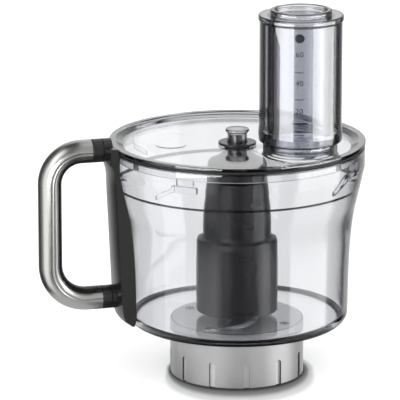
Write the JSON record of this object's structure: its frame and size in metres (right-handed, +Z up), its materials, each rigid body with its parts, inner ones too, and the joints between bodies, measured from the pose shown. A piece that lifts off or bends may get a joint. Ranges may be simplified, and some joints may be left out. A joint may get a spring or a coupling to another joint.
{
  "type": "food processor",
  "caption": "Food processor bowl on a geared base ring, with a side handle, a clear lid, a feed tube, nested pushers and a two-blade knife.",
  "frame": {"origin": "on the surface it stands on, under the middle of the whole object's outline from above", "axes": "+Z up; the handle points along -X; the feed tube is on the -Y, +X side of the lid"},
  "size_m": [0.2306, 0.178, 0.264],
  "materials": {
    "clear_bowl": "clear moulded plastic, polished, with darker thick edges",
    "clear_lid": "clear moulded plastic, polished",
    "clear_tube": "clear moulded plastic, polished",
    "clear_pusher": "clear moulded plastic, polished",
    "clear_cup": null,
    "base_grey": "satin grey moulded plastic",
    "knife_grey": "dark grey moulded plastic, slightly shiny",
    "handle_dark": "black moulded plastic, satin",
    "handle_metal": "satin metal",
    "seal_rubber": "black rubber",
    "steel": "machined steel",
    "blade_steel": "polished stainless steel with a ground edge",
    "bronze": "sintered bronze bush",
    "nylon": "natural nylon"
  },
  "bodies": {
    "root": {"bowl": "clear_bowl", "base_ring": "base_grey", "base_plate": "nylon", "base_screw_1": "steel", "base_screw_2": "steel", "base_screw_3": "steel", "base_screw_4": "steel", "ring_gear": "nylon", "deck_bush": "bronze", "tube_bush": "bronze", "spindle_seal": "seal_rubber", "input_bush": "bronze", "handle_back_plate": "handle_dark", "handle_grip": "handle_metal", "grip_liner": "handle_dark", "upper_collar": "handle_dark", "lower_collar": "handle_dark", "upper_handle_screw": "steel", "lower_handle_screw": "steel"},
    "lid_seal": {"lid_seal": "seal_rubber"},
    "lid": {"lid": "clear_lid", "feed_tube": "clear_tube", "lid_boss": "clear_lid", "boss_washer": "knife_grey", "lid_bush": "steel"},
    "large_pusher": {"large_pusher": "clear_pusher"},
    "small_pusher": {"small_pusher": "clear_cup"},
    "spindle": {"spindle_shaft": "steel", "planet_carrier": "steel", "planet_pin_1": "steel", "planet_pin_2": "steel", "planet_pin_3": "steel", "knife_hub": "knife_grey", "hub_cap": "knife_grey", "lower_blade": "blade_steel", "upper_blade": "blade_steel"},
    "sun": {"sun_gear": "steel", "input_shaft": "steel", "drive_dog": "steel"},
    "planet_1": {"planet_gear_1": "nylon"},
    "planet_2": {"planet_gear_2": "nylon"},
    "planet_3": {"planet_gear_3": "nylon"}
  },
  "joints": [
    {"name": "lid_lift", "type": "slide", "parent": "root", "child": "lid_seal", "axis": [0, 0, 1], "range_m": [0, 0.15]},
    {"name": "lid_twist", "type": "hinge", "parent": "lid_seal", "child": "lid", "pos_m": [0.0263, 0, 0.16], "axis": [0, 0, 1], "range_deg": [-30, 0]},
    {"name": "large_pusher_slide", "type": "slide", "parent": "lid", "child": "large_pusher", "axis": [0, 0, 1], "range_m": [0, 0.1]},
    {"name": "small_pusher_slide", "type": "slide", "parent": "large_pusher", "child": "small_pusher", "axis": [0, 0, 1], "range_m": [0, 0.1]},
    {"name": "knife_spin", "type": "hinge", "parent": "root", "child": "spindle", "pos_m": [0.0263, 0, 0.03], "axis": [0, 0, 1], "continuous": true},
    {"name": "sun_spin", "type": "hinge", "parent": "root", "child": "sun", "pos_m": [0.0263, 0, 0.02], "axis": [0, 0, 1], "continuous": true},
    {"name": "planet_1_spin", "type": "hinge", "parent": "spindle", "child": "planet_1", "pos_m": [0.0452, 0, 0.02], "axis": [0, 0, 1], "continuous": true},
    {"name": "planet_2_spin", "type": "hinge", "parent": "spindle", "child": "planet_2", "pos_m": [0.01685, 0.01637, 0.02], "axis": [0, 0, 1], "continuous": true},
    {"name": "planet_3_spin", "type": "hinge", "parent": "spindle", "child": "planet_3", "pos_m": [0.01685, -0.01637, 0.02], "axis": [0, 0, 1], "continuous": true}
  ],
  "couplings": [
    {"joint": "sun_spin", "follows": "knife_spin", "ratio": 4.5},
    {"joint": "planet_1_spin", "follows": "knife_spin", "ratio": -2.8},
    {"joint": "planet_2_spin", "follows": "knife_spin", "ratio": -2.8},
    {"joint": "planet_3_spin", "follows": "knife_spin", "ratio": -2.8}
  ]
}
